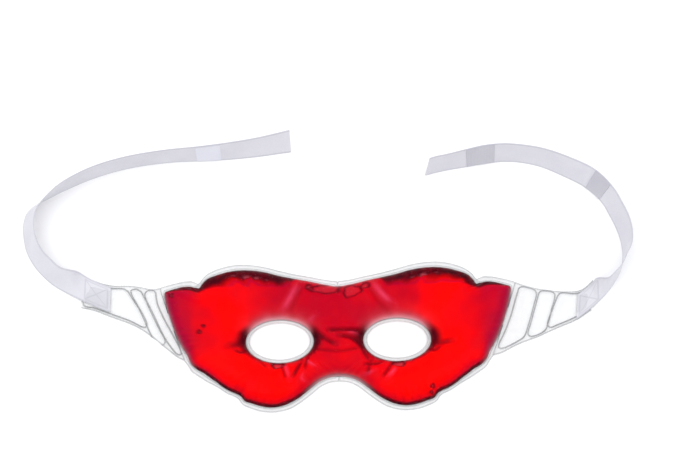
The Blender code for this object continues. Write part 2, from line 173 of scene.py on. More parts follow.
def noise2(x, y, scale, seed):
    """Smooth value noise in about -1 to 1."""
    grid = np.random.default_rng(seed).uniform(-1, 1, (64, 64))
    u, v = x / scale + 17.3, y / scale + 9.1
    i, j = np.floor(u).astype(int), np.floor(v).astype(int)
    fu, fv = ease(u - i), ease(v - j)
    g = lambda a, b: grid[a % 64, b % 64]
    return (g(i, j) * (1 - fu) + g(i + 1, j) * fu) * (1 - fv) + (g(i, j + 1) * (1 - fu) + g(i + 1, j + 1) * fu) * fv


def make(name, verts, faces, flat=False):
    mesh = bpy.data.meshes.new(name)
    mesh.from_pydata((np.asarray(verts, float) * MM).tolist(), [], [tuple(int(v) for v in f) for f in faces])
    mesh.validate()
    mesh.update()
    if not flat:
        mesh.shade_smooth()
    obj = bpy.data.objects.new(name, mesh)
    bpy.context.scene.collection.objects.link(obj)
    return obj


KEPT = {}  # film piece to the vertices it kept


def attribute(obj, name, values):
    values = np.asarray(values, np.float32)
    if len(values) != len(obj.data.vertices):
        values = values[KEPT[obj.name]]
    made = obj.data.attributes.new(name, "FLOAT", "POINT")
    made.data.foreach_set("value", values)


def ring_faces(rows, count, offset=0):
    """Quads between rows of closed rings numbered one after the other."""
    i = np.arange(count)
    j = (i + 1) % count
    out = []
    for r in range(rows - 1):
        a, b = offset + r * count, offset + (r + 1) * count
        out.append(np.stack([a + i, a + j, b + j, b + i], 1))
    return np.vstack(out)


def grid_faces(nu, nv, offset=0):
    """Quads of a grid numbered u * nv + v."""
    u, v = np.meshgrid(np.arange(nu - 1), np.arange(nv - 1), indexing="ij")
    a = (offset + u * nv + v).ravel()
    return np.stack([a, a + nv, a + nv + 1, a + 1], 1)


def normals_of(verts, faces):
    n = np.zeros_like(verts)
    a, b, c, d = (verts[faces[:, k]] for k in range(4))
    f = np.cross(c - a, d - b)
    for k in range(4):
        np.add.at(n, faces[:, k], f)
    return n / np.maximum(np.linalg.norm(n, axis=1), 1e-9)[:, None]


def boundary_edges(faces):
    """Directed edges used by one quad only."""
    e = np.vstack([faces[:, [k, (k + 1) % 4]] for k in range(4)])
    seen = {}
    for a, b in e.tolist():
        seen[(a, b)] = True
    return [(a, b) for a, b in seen if (b, a) not in seen]


def skin(name, verts, faces, thick, side=1.0):
    """A film: the given surface moved by thick along its normals, and its cut edge. The underside is left out,
    so that light crosses each film once. side 1 moves it to the normal's side, -1 to the other."""
    n = normals_of(verts, faces)
    other = verts + n * thick * side
    count = len(verts)
    top, low = (count, 0) if side > 0 else (0, count)
    both = np.vstack([verts, other])
    rim = [(low + a, low + b, top + b, top + a) for a, b in boundary_edges(faces)]
    shell = np.vstack([faces + top, np.array(rim)])
    used = np.unique(shell)
    place = np.full(2 * count, -1)
    place[used] = np.arange(len(used))
    film = make(name, both[used], place[shell])
    KEPT[film.name] = used
    return film


# ---------------------------------------------------------------- pouch layout
GEL_LINE = even(smooth(GEL_RIM, 6), 0.9)
EDGE_LINE = smooth(FILM_TOP + [ROOT_LOW] + FILM_BOTTOM, 5)
# the tab root is a straight line between its two corners
_top, _low = smooth(FILM_TOP, 6), smooth([ROOT_LOW] + FILM_BOTTOM, 6)
EDGE_LINE = np.vstack([_top, _low])
_angle = np.linspace(0, 2 * math.pi, 361)
WELD_RING = EYE + np.stack([WELD[0] * np.cos(_angle), WELD[1] * np.sin(_angle)], 1)
GEL_POLY = np.vstack([[(-30, GEL_LINE[0, 1])], GEL_LINE, [(-30, GEL_LINE[-1, 1])]])


def rays(angles, loop):
    a, b = loop, np.roll(loop, -1, axis=0)
    out = np.empty((len(angles), 2))
    for n, angle in enumerate(angles):
        ray = np.array([math.cos(angle), math.sin(angle)])
        left = np.array([-ray[1], ray[0]])
        sa, sb = (a - EYE) @ left, (b - EYE) @ left
        hit = (sa <= 0) != (sb <= 0)
        t = sa[hit] / (sa[hit] - sb[hit])
        reach = ((a[hit] - EYE) @ ray) * (1 - t) + ((b[hit] - EYE) @ ray) * t
        out[n] = EYE + ray * reach.max()
    return out


# Creases pressed into the pouch: points, half width, depth (negative stands up), mm. Both halves, as laid.
CREASES = [
    ([(-23.1, 35), (-26.8, 29.2), (-30.3, 22.8), (-34.5, 16)], 1.7, -0.9),
    ([(-20.6, 35), (-23.6, 28.6), (-26.4, 22), (-29.5, 16.4)], 1.6, 0.3),
    ([(20.2, 35.6), (24.2, 30.5), (28.2, 25.3), (34.3, 19.9)], 1.7, -0.9),
    ([(17.6, 34.4), (21, 28.4), (24.4, 22.6), (28.4, 17)], 1.6, 0.3),
    ([(-20.1, 9.7), (-16.7, 11.8), (-13.2, 15)], 1.3, -0.6),
    ([(-5.8, 5.1), (1.7, 5.3), (11.3, 4.8), (16, 3.6)], 1.2, 1.1),
    ([(-16.4, 5.3), (-12, 2.4), (-7.3, -0.8), (-1.8, -3.8)], 1.4, 1.0),
    ([(4.4, 3.6), (11.2, 2.6), (14.6, -0.2)], 1.0, -0.8),
    ([(0.3, 1.9), (7.1, 0.3), (12.5, -3), (15.8, -9.5), (18.4, -13.8)], 1.3, 1.0),
    ([(-15.9, -6.4), (-6.7, -7.7), (1.5, -8.1), (11.3, -6.6)], 0.9, 0.6),
    ([(-12.1, -1.9), (-13.5, -4.7), (-14.9, -8.9)], 0.8, 0.9),
    ([(-55.1, 0.8), (-60.5, -3.2), (-66.7, -4.4)], 2.0, 0.9),
    ([(-55.1, -6.8), (-59.2, -8.4), (-62.6, -6.6)], 1.0, 0.9),
    ([(55.1, -1.2), (59.9, -4.2), (68.5, -3.1)], 1.8, 0.9),
    ([(54.6, -7.6), (58, -8.8), (61.5, -6.1)], 1.0, 0.9),
    ([(-47.6, -13.2), (-43.5, -17.6)], 0.9, 0.8),
    ([(-33.3, -14.2), (-31.3, -19.9), (-29.7, -25.8)], 1.0, -0.7),
    ([(-35, -15), (-33.4, -20), (-32, -24.6)], 0.8, 0.7),
    ([(-20.4, -13.8), (-16.6, -16), (-12.9, -18.4)], 0.9, -0.8),
    ([(-22.4, -14.4), (-25.2, -19.3), (-27.3, -23.5)], 1.1, 1.0),
    ([(-17.6, -10.3), (-19.7, -14.5), (-20.4, -18.7)], 1.0, 0.9),
    ([(-20.5, -21.5), (-22.5, -25), (-19.2, -27.1)], 0.9, -0.5),
    ([(28.3, -26.3), (31.8, -22.5), (34.9, -18.6)], 1.0, -0.8),
    ([(26.4, -24.6), (29.4, -20.6), (31.6, -16.8)], 0.9, 0.8),
    ([(26.5, -14.9), (23.1, -16.5), (15.6, -16.8)], 0.9, 0.9),
    ([(22.3, -20.6), (17.5, -22.3), (13.4, -23.4)], 1.0, -0.6),
    ([(20.4, -13.2), (18.4, -17.6), (17.2, -22.4)], 1.0, 0.7),
]
# Air trapped between gel and front film: centre, half sizes, turn in degrees, depth
BUBBLES = [
    (-7.5, 31.6, 9.4, 3.0, 4, 0.7), (8.6, 30.0, 5.4, 3.9, 12, 0.7), (16.8, 33.4, 2.6, 1.8, 25, 0.7),
    (-17.2, 32.6, 2.2, 1.4, -30, 1.6), (-36.7, -16.2, 3.6, 1.9, 0, 2.0), (36.2, -16.3, 3.6, 1.9, 0, 2.0),
    (-56, 40.4, 3.4, 1.6, 10, 4.6), (-49.6, 39.6, 2.8, 1.5, -8, 4.6), (-64, 41.6, 2.4, 1.2, 12, 3.8), (-43.4, 38.2, 1.9, 1.1, 0, 3.6),
    (52.4, 40.2, 3.6, 1.6, 8, 4.4), (60.4, 41.4, 2.2, 1.2, -12, 3.8), (45.6, 38.6, 2.4, 1.2, 14, 3.6),
    (-101.4, 28.8, 1.2, 1.1, 0, 2.0), (-84, 4.6, 1.1, 0.9, 20, 1.6), (-81.4, 8.2, 0.8, 0.7, 0, 1.4),
    (55.9, -31, 1.1, 0.9, 30, 1.6), (55.2, -34.6, 0.8, 0.7, 0, 1.4),
]


def crease_field(points):
    """(height change, painted shade in the pressed-in valleys) of all creases at plan points."""
    lift, crease_shade = np.zeros(len(points)), np.zeros(len(points))
    for line, width, depth in CREASES:
        path = smooth(line, 6)
        near = np.abs(points - path.mean(0)).max(1) < 34
        d = to_line(points[near], path)
        ends = np.minimum(
            np.linalg.norm(points[near] - path[0], axis=1), np.linalg.norm(points[near] - path[-1], axis=1)
        )
        fade = ease(ends / (3 * width) + 0.35)
        valley = np.exp(-((d / width) ** 2))
        shoulder = np.exp(-(((d - 2.1 * width) / (1.2 * width)) ** 2))
        lift[near] += (-depth * valley + 0.35 * depth * shoulder) * fade
        # painted shade along the pressed-in valleys
        crease_shade[near] = np.maximum(crease_shade[near], valley * fade * max(depth, 0) * 0.85)
    return lift, crease_shade


def bubble_field(points):
    """(depth of the air pocket in the gel, closeness to a bubble's outline)."""
    depth, outline = np.zeros(len(points)), np.zeros(len(points))
    for x, y, a, b, turn, deep in BUBBLES:
        c, s = math.cos(math.radians(turn)), math.sin(math.radians(turn))
        dx, dy = points[:, 0] - x, points[:, 1] - y
        u, v = (dx * c + dy * s) / a, (-dx * s + dy * c) / b
        wob = 1 + 0.13 * np.sin(3 * np.arctan2(v, u) + x) + 0.07 * np.sin(7 * np.arctan2(v, u) + y)
        r = np.hypot(u, v) / wob
        depth = np.maximum(depth, deep * np.sqrt(np.clip(1 - r**2, 0, 1)))
        outline = np.maximum(outline, np.exp(-(((r - 1) * b / 0.55) ** 2)))
    return depth, outline


def pouch_field(points, arc):
    """Height of the front film over the weld plane at plan points of both halves, and the painted shade in the gel's
    creases and pucker troughs.
    """
    mirrored = np.stack([np.abs(points[:, 0]), points[:, 1]], 1)
    rim = to_line(mirrored, GEL_LINE)
    rim = np.where(inside(mirrored, GEL_POLY), rim, -rim)
    q = np.hypot(*((mirrored - EYE) / WELD).T)
    eye = np.where(q > 1, to_line(mirrored, WELD_RING), -1)
    d = np.minimum(rim, eye)
    width = 12 + 2.2 * noise2(points[:, 0], points[:, 1], 26, 3)
    t = np.clip(d / width, 0, 1)
    base = np.sqrt(np.clip(1 - (1 - t) ** 2.2, 0, 1))
    full = GEL_H * (1 - 0.26 * np.exp(-((points[:, 0] / 15) ** 2)))
    full = full + 0.55 * noise2(points[:, 0], points[:, 1], 19, 5) + 0.25 * noise2(points[:, 0], points[:, 1], 8, 8)
    lift, crease_shade = crease_field(points)
    soft = ease(d / 5)
    pucker = np.exp(-np.clip(rim, 0, None) / 4.6) * ease(rim / 1.5)
    wave = np.sin(arc * 1.15 + 2.2 * noise2(arc, arc * 0, 9, 11)) * (0.5 + 0.5 * noise2(arc, arc * 0 + 3, 14, 13))
    ring = np.exp(-np.clip(eye, 0, None) / 4.2) * ease(eye / 1.2)
    turn = np.arctan2((mirrored - EYE)[:, 1], (mirrored - EYE)[:, 0]) * 9 + np.sign(points[:, 0])
    ring_wave = np.sin(turn + 1.6 * noise2(turn, turn * 0, 2.4, 17))
    height = base * full + lift * soft + pucker * wave * 0.5 + ring * ring_wave * 0.35
    # the last value is painted shade in the troughs of the rim puckers and of the ripples round the eyes
    return np.maximum(height, 0) * (d > 0), rim, eye, crease_shade * soft, pucker * np.clip(-wave, 0, 1) + ring * np.clip(-ring_wave, 0, 1) * 0.6


def bell(value, middle, width):
    return np.exp(-(((value - middle) / width) ** 2))


def tone_fields(plan, arc, rim, eye, n):
    """How the gel's colour varies: painted shade where it thins to the weld and beside the eyes, painted purple shade
    on the slanted ends, painted sheen and highlights over the eyes.
    """
    x, y = plan[:, 0], plan[:, 1]
    away = np.abs(x)
    rough = noise2(x, y, 5.2, 51) * 0.6 + noise2(x, y, 2.3, 52) * 0.4
    lumps = noise2(arc, arc * 0 + 1, 5.5, 53)
    # painted shade at the rim: a broad maroon band along the brows, a thin one elsewhere, nearly none over the nose
    brow = ease((y - 29 - 0.02 * away) / 3.5) * ease((away - 24) / 10)
    wide = 1.5 + brow * (8.6 + 2.8 * lumps) + 1.8 * ease((away - 82) / 5) * ease((y - 30) / 3) + 3.2 * np.exp(-(((away - 86) / 5) ** 2)) * ease((y - 27) / 3)
    inner = np.clip(rim, 0, None) + rough * (0.25 + 0.8 * brow)
    edge_shade = ease(1.6 - 1.35 * inner / wide) * (0.35 + 0.65 * np.maximum(ease((away - 22) / 7), ease((-15 - y) / 5) * 0.9))
    side = ease((away - 84) / 8) * (1 - brow) * ease((33.5 - y) / 4)
    edge_shade = edge_shade * (1 - 0.7 * side)
    # painted shade in crescents beside and below each eye opening, none above it
    angle = np.arctan2((y - EYE[1]) / WELD[1], (away - EYE[0]) / WELD[0])
    level = np.abs(np.cos(angle))
    under = ease(-np.sin(angle))
    reach = 1.2 + 5.6 * level**5 + 1.1 * under + 1.3 * rough
    edge_shade = np.maximum(edge_shade, ease(1.25 - np.clip(eye, 0, None) / reach) * (0.3 + 0.7 * np.maximum(level**2, under * 0.8)) * (1 - ease(np.sin(angle) * 2 - 0.6)))
    # painted purple shade on the slanted ends, along the brow band and low on the outer sides
    purple_shade = 0.95 * side * np.exp(-np.clip(rim, 0, None) / 6.5) + 0.45 * brow * np.exp(-(((inner - wide * 1.1) / 1.3) ** 2))
    purple_shade = np.maximum(purple_shade, 0.5 * ease((away - 60) / 20) * ease((-8 - y) / 8) * np.exp(-np.clip(rim, 0, None) / 2.2))
    above = ease(np.sin(angle) * 1.8 - 0.35)
    # painted sheen: pale pink over each eye opening and at its inner side
    haze_and_sheen = above * np.exp(-np.clip(eye, 0, None) / 2.2) * (0.9 + 0.4 * rough)
    haze_and_sheen = np.maximum(haze_and_sheen, 0.75 * ease(-np.cos(angle) * 1.7 - 0.75) * np.exp(-np.clip(eye, 0, None) / 2.0) * ease(0.6 - np.abs(y - 1) / 10))
    gleam = np.zeros(len(plan))
    for line, width, depth in CREASES:
        if depth < 0:
            path = smooth(line, 6)
            near = np.abs(plan - path.mean(0)).max(1) < 34
            d = to_line(plan[near], path)
            ends = np.minimum(np.linalg.norm(plan[near] - path[0], axis=1), np.linalg.norm(plan[near] - path[-1], axis=1))
            gleam[near] = np.maximum(gleam[near], bell(d, 0, width * 1.15) * -depth * ease(ends / (5 * width) + 0.1))
    # crimson in the middle and over the nose, scarlet in the lobes
    high = ease((y + 18) / 22)
    warm = high * ease((away - 8) / 62) + (1 - high) * ease((away - 2) / 34)
    warm = warm * (1 - 0.45 * ease((y - 8) / 20) * (1 - ease((away - 34) / 40)))
    warm = warm + 0.42 * np.exp(-((away / 17) ** 2) - (((y + 5) / 17) ** 2))
    warm = warm * (1 - 0.72 * ease((away - 64) / 36) * ease((y + 24) / 24))
    warm = np.clip(warm + 0.22 * noise2(x, y, 15, 55) + 0.12 * noise2(x, y, 6, 56), 0, 1)
    deep = np.clip(np.minimum(rim, eye), 0, None)
    warm = warm * ease(deep / 7 + 0.25)
    # painted highlight: the gel's brink is whitened over the eyes, over the nose and in its arch
    nose = 1 - ease((away - 10) / 14)
    brink_highlight = np.maximum(above * np.exp(-np.clip(eye, 0, None) / 0.75), 0.8 * nose * np.exp(-np.clip(rim, 0, None) / 0.7))
    brink_highlight = np.maximum(brink_highlight, 0.45 * side * np.exp(-np.clip(rim, 0, None) / 0.7))
    return {"edge_shade": edge_shade, "purple_shade": purple_shade, "haze_and_sheen": haze_and_sheen, "gleam": gleam, "warm": warm, "brink_highlight": brink_highlight}


# plan grid of one half: rings round the eye opening, out to the gel's rim
STEP = 0.8
_rim = even(smooth(GEL_RIM, 6), STEP)
_fold = even(np.array([[0, _rim[-1, 1]], [0, _rim[0, 1]]], float), STEP * 1.3)[1:-1]
_loop = np.vstack([_rim, _fold])
_angles = np.arctan2(_loop[:, 1] - EYE[1], _loop[:, 0] - EYE[0])
_corner = np.arctan2(np.array([35.6, -10.9]) - EYE[1], np.array([109.2, 93.5]) - EYE[0])
ANGLES = np.unique(np.round(np.append(_angles, _corner), 4))
ANGLES = ANGLES[np.append(True, np.diff(ANGLES) > 0.004)]
RIM = rays(ANGLES, _loop)
OUTER = rays(ANGLES, np.vstack([EDGE_LINE, even(np.array([[0, EDGE_LINE[-1, 1]], [0, EDGE_LINE[0, 1]]], float), 3)[1:-1]]))
ON_FOLD = RIM[:, 0] < 1e-6
RIM[ON_FOLD, 0] = 0
OUTER[:, 0] = np.where(OUTER[:, 0] < 1e-6, 0, OUTER[:, 0])
_turn = np.arctan2(np.sin(ANGLES) / WELD[1], np.cos(ANGLES) / WELD[0])
WELD_PTS = EYE + WELD * np.stack([np.cos(_turn), np.sin(_turn)], 1)
HOLE_PTS = EYE + HOLE * np.stack([np.cos(_turn), np.sin(_turn)], 1)
ARC = np.append(0, np.cumsum(np.linalg.norm(np.diff(RIM, axis=0), axis=1)))
COUNT = len(ANGLES)
RADIAL = 52
_t = np.linspace(0, 1, RADIAL)
SPREAD = 0.5 - 0.5 * np.cos(math.pi * _t) * (0.55 + 0.45 * np.abs(np.cos(math.pi * _t)))
SPREAD = (SPREAD - SPREAD[0]) / (SPREAD[-1] - SPREAD[0])


def both_halves(ring_list):
    """Vertices and quads of the two halves as one surface, joined on x = 0, and each vertex's place along the rim."""
    rows = len(ring_list)
    right = np.vstack(ring_list)
    arc = np.tile(ARC, rows)
    left = right * (-1, 1)
    faces = ring_faces(rows, COUNT)
    verts = np.vstack([right, left])
    arcs = np.append(arc, arc + 57)
    faces = np.vstack([faces, faces[:, ::-1] + len(right)])
    on = np.where(np.abs(right[:, 0]) < 1e-9)[0]
    swap = np.arange(len(verts))
    swap[on + len(right)] = on
    faces = swap[faces]
    used = np.unique(faces)
    back = np.full(len(verts), -1)
    back[used] = np.arange(len(used))
    faces = back[faces]
    flat = np.array([len(set(f)) == 4 for f in faces.tolist()])
    return verts[used], faces[flat], arcs[used]


def facing_up(verts, faces):
    return faces if normals_of(verts, faces)[:, 2].sum() > 0 else faces[:, ::-1]


def build_pouch():
    """The gel and the front film, which follow one surface."""
    rings = [WELD_PTS + (RIM - WELD_PTS) * t for t in SPREAD]
    plan, faces, arc = both_halves(rings)
    height, rim, eye, crease_shade, pucker = pouch_field(plan, arc)
    depth, outline = bubble_field(plan)
    verts = np.column_stack([plan, FLANGE_Z + height])
    faces = facing_up(verts, faces)
    n = normals_of(verts, faces)

    # gel: the film's underside moved in a little, less the air pockets, with a flat bottom
    edge = (rim < 0.02) | (eye < 0.02)
    top = verts - n * 0.12
    top[:, 2] = np.maximum(top[:, 2] - np.minimum(depth, height * 0.45), FLANGE_Z + 0.2)
    inset = np.where(edge)[0]
    top[inset, :2] = plan[inset] - n[inset, :2] * 0.25
    bottom = np.column_stack([top[:, :2], np.full(len(top), BACK_TOP + 0.1)])
    count = len(top)
    rim_quads = [(count + a, count + b, b, a) for a, b in boundary_edges(faces)]
    gel = make("gel", np.vstack([top, bottom]), np.vstack([faces, faces[:, ::-1] + count, np.array(rim_quads)]))
    tones = tone_fields(plan, arc, rim, eye, n)
    # the crease, pucker and bubble outline values carry painted shade
    tones.update(crease=crease_shade, pucker=pucker, air=depth, air_edge=outline)
    for key, values in tones.items():
        attribute(gel, key, np.append(values, values))

    # front film: weld ring round each eye, skin over the gel, weld flange
    ring_rows = [(0.0, 0.0), (0.1, 0.1), (0.22, 0.17), (0.36, 0.08), (0.55, 0.0), (0.72, 0.02), (0.84, 0.12), (0.94, 0.06)]
    flange_rows = [(0.06, 0.02), (0.16, 0.1), (0.27, 0.16), (0.38, 0.08), (0.52, 0.0), (0.68, 0.0), (0.8, 0.08), (0.9, 0.18), (1.0, 0.06)]
    rings, extra = [], []
    for t, z in ring_rows:
        rings.append(HOLE_PTS + (WELD_PTS - HOLE_PTS) * t)
        extra.append(np.full(COUNT, z))
    for t in SPREAD:
        rings.append(WELD_PTS + (RIM - WELD_PTS) * t)
        extra.append(np.zeros(COUNT))
    for t, z in flange_rows:
        rings.append(RIM + (OUTER - RIM) * t)
        extra.append(np.where(ON_FOLD, 0, z))
    keep = []
    plan, faces, arc = both_halves(rings)
    lift = np.concatenate(extra * 2)
    # both_halves drops doubled points: find each kept point's bead height again by its place
    table = {}
    for ring, z in zip(rings, extra):
        for (x, y), value in zip(ring.tolist(), z.tolist()):
            table[(round(x, 6), round(y, 6))] = value
    lift = np.array([table[(round(abs(x), 6), round(y, 6))] for x, y in plan.tolist()])
    height, rim, eye, crease_shade, pucker = pouch_field(plan, arc)
    ripple = 0.12 * noise2(plan[:, 0], plan[:, 1], 3.2, 21) * (height <= 0)
    verts = np.column_stack([plan, FLANGE_Z + np.where(height > 0, height, lift * 1.6 + np.maximum(ripple, 0))])
    faces = facing_up(verts, faces)
    film = skin("front_film", verts, faces, FILM, 1)
    line = np.clip(lift / 0.2, 0, 1) ** 4 * (height <= 0)
    attribute(film, "line", np.append(line, line))
    free = np.where(height > 0, 0.08, 1.0)  # over the gel the film clings and hardly shows
    attribute(film, "free", np.append(free, free))
    return gel, film


def build_back_film():
    rings = [HOLE_PTS + (OUTER - HOLE_PTS) * t for t in (0, 0.03, 0.3, 0.6, 0.85, 0.97, 1)]
    plan, faces, _ = both_halves(rings)
    verts = np.column_stack([plan, np.zeros(len(plan))])
    faces = facing_up(verts, faces)
    film = skin("back_film", verts, faces, BACK_TOP, 1)
    attribute(film, "free", np.full(len(film.data.vertices), 0.4))
    return film


# ---------------------------------------------------------------- tabs
TAB_TOP = {
    "left": [(109.2, 35.6), (112, 35.0), (116, 35.3), (121, 36.5), (127, 37.4), (138, 37.8), (144, 39.1), (150, 41.3), (156.4, 42.9)],
    "right": [(109.2, 35.6), (112, 34.2), (118, 32.2), (124, 30.8), (134, 29.3), (145, 29), (149, 29.9), (153, 32.4), (156.6, 36.2)],
}
TAB_BOTTOM = {
    "left": [(93.5, -10.9), (97, -9.3), (102, -5.4), (108, -0.2), (114.5, 5.2), (120.7, 9.5), (127, 12.8), (139, 17.5), (149, 21.6), (156.7, 23.4)],
    "right": [(93.5, -10.9), (98, -9.8), (110, -4), (122, 0.4), (128.6, 3.4), (135, 6.1), (144, 9.8), (154.3, 16.3)],
}
PANELS = {
    "left": [
        [(111.6, 32.4), (112.8, 33.8), (116.6, 33.6), (118, 31.4), (115.6, 24), (108, 8), (102, -1.6), (97.2, -7), (95.4, -6.6), (100, 4), (106.4, 16), (110.6, 26)],
        [(120.6, 33.4), (123.4, 35), (126.4, 34.2), (126.2, 31.8), (121, 22), (114.6, 7.4), (112.4, 3.6), (106.8, -0.8), (105.2, 1.4), (108, 8), (113.4, 20), (117.6, 28)],
        [(128.6, 33.6), (131, 35.2), (138, 35.7), (144, 36.9), (150, 39), (155, 40.8), (155.2, 25.4), (149, 23.6), (139, 19.8), (127, 15), (117.6, 10.6), (116.6, 12.6), (120, 20), (125, 28)],
    ],
    "right": [
        [(111, 31.2), (112.6, 32.2), (120, 30.2), (121.4, 28), (119.4, 20), (115.6, 8), (112.6, 0.6), (110, -1.4), (99, -6.6), (97, -6), (101.6, 4.6), (105.4, 14), (108.6, 24)],
        [(123.2, 28.2), (124.8, 29.4), (131.8, 28.2), (132.6, 26), (130.2, 17.4), (127.4, 8.4), (125.2, 4), (117, 0.6), (115.2, 2), (117.2, 9), (120.4, 19.4)],
        [(134.6, 26), (136.4, 27.8), (145, 27.2), (150.6, 28.6), (154.8, 32), (153.6, 18.6), (146, 13.2), (134, 8), (128.6, 6.2), (127.4, 8), (129.6, 14.6), (132.4, 21.4)],
    ],
}


def lines_between(a, b, nu, nv):
    """Grid between two lines, evenly spaced along each."""
    def spread(line):
        reach = np.append(0, np.cumsum(np.linalg.norm(np.diff(line, axis=0), axis=1)))
        at = np.linspace(0, reach[-1], nu)
        return np.stack([np.interp(at, reach, line[:, k]) for k in (0, 1)], 1)
    a, b = spread(a), spread(b)
    t = np.linspace(0, 1, nv)[None, :, None]
    return (a[:, None] * (1 - t) + b[:, None] * t).reshape(-1, 2)


def build_tab(hand, side):
    """Front film of a tab, with its three welded panels, and the plain back film."""
    top, low = smooth(TAB_TOP[hand], 6), smooth(TAB_BOTTOM[hand], 6)
    nu, nv = ((170, 130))
    plan = lines_between(low, top, nu, nv)
    z = np.full(len(plan), FLANGE_Z)
    rim = np.minimum(to_line(plan, low), to_line(plan, top))
    line = np.exp(-(((rim - 0.5) / 0.3) ** 2)) * 0.7
    z += 0.2 * line
    for n, panel in enumerate(PANELS[hand]):
        loop = smooth(np.vstack([panel, panel[:1]]), 4)
        d = to_line(plan, loop)
        d = np.where(inside(plan, loop), d, -d)
        puff = (0.75, 0.6, 0.95)[n] * ease(d / 3.2) * (1 + 0.25 * noise2(plan[:, 0], plan[:, 1], 7, 40 + n))
        ridge = np.exp(-(((d + 0.1) / 0.42) ** 2))
        line = np.maximum(line, np.exp(-(((d + 0.1) / 0.3) ** 2)))
        z += puff + 0.42 * ridge
    z += 0.1 * noise2(plan[:, 0], plan[:, 1], 5, 31)
    plan = plan * (side, 1)
    verts = np.column_stack([plan, z])
    faces = grid_faces(nu, nv)
    front = skin(f"{hand}_tab_front", verts, facing_up(verts, faces), FILM, 1)
    attribute(front, "line", np.append(line, line))
    attribute(front, "free", np.ones(2 * len(line)))
    nu, nv = 40, 20
    plan = lines_between(low, top, nu, nv) * (side, 1)
    verts = np.column_stack([plan, np.zeros(len(plan))])
    back = skin(f"{hand}_tab_back", verts, facing_up(verts, grid_faces(nu, nv)), BACK_TOP, 1)
    attribute(back, "free", np.full(len(back.data.vertices), 0.6))
    return front, back


# ---------------------------------------------------------------- straps
STRAPS = {
    "left": [
        (-139, 20.5, -90, 270), (-148, 24.2, -90, 270), (-157.3, 28.6, -80, 266), (-166.1, 33.3, -51, 250),
        (-174.2, 38.4, -37, 233), (-181.3, 44.8, -36, 224), (-187.3, 52.2, -34, 213), (-191.8, 60.9, -34, 200),
        (-193.9, 70, -33, 189), (-194.5, 78.1, -34, 176), (-192.4, 86.3, -32, 150), (-186.8, 91.6, -24, 126),
        (-178.6, 96, -11, 119), (-170, 100.5, -2, 115), (-155.7, 107, 4, 112), (-141.8, 111.9, 6, 108),
        (-124.9, 115.9, 7, 102), (-104, 118.5, 9, 95), (-85, 119.2, 13, 92), (-66, 119.9, 20, 92),
        (-47, 121.6, 27, 94), (-28, 124.2, 38, 92),
    ],
    "right": [
        (145, 10.8, -90, -96), (149.5, 14, -90, -96), (155.2, 18.4, -77, -94), (160.2, 22.8, -44, -83),
        (165.5, 28.5, -16, -70), (170.6, 35.3, -8, -40), (174, 41.8, -2, -21), (175.4, 48, 4, -8),
        (175.9, 54, 14, 1), (175.2, 61.1, 21, 10), (173.1, 69.1, 26, 19), (169.7, 77.5, 27, 27), (165, 87, 28, 37),
        (155.1, 97.1, 33, 51), (141.7, 105, 30, 63), (128.1, 111.4, 25, 71), (116, 114.4, 23, 81),
        (105, 115.2, 24, 90), (94.1, 114, 26, 97), (81, 111.9, 22, 99), (68, 109.7, 18, 98),
        (56, 107, 22, 66),
    ],
}
STRAP_WIDTH, STRAP_THICK = 16.0, 0.42


def strap_rows(hand, first, last, count):
    """Lower-edge and upper-edge points at evenly spaced places between two station numbers."""
    fine = smooth(STRAPS[hand], 24)
    at = np.linspace(first, last, count) * 24
    k = np.clip(np.floor(at).astype(int), 0, len(fine) - 2)
    x, y, lean, to = (fine[k] + (fine[k + 1] - fine[k]) * (at - k)[:, None]).T
    place = at / 24
    z = 0.3 + 0.62 * np.clip((3.2 - place) / 1.2, 0, 1)
    lean, to = np.radians(np.maximum(lean, -90)), np.radians(to)
    reach = STRAP_WIDTH * np.sin(lean)
    low = np.stack([x, y, z], 1)
    up = np.stack([x + reach * np.cos(to), y + reach * np.sin(to), z + STRAP_WIDTH * np.cos(lean)], 1)
    return low, up


def strap_lengths(hand):
    low, up = strap_rows(hand, 0, len(STRAPS[hand]) - 1, 900)
    mid = (low + up) / 2
    return np.append(0, np.cumsum(np.linalg.norm(np.diff(mid, axis=0), axis=1)))


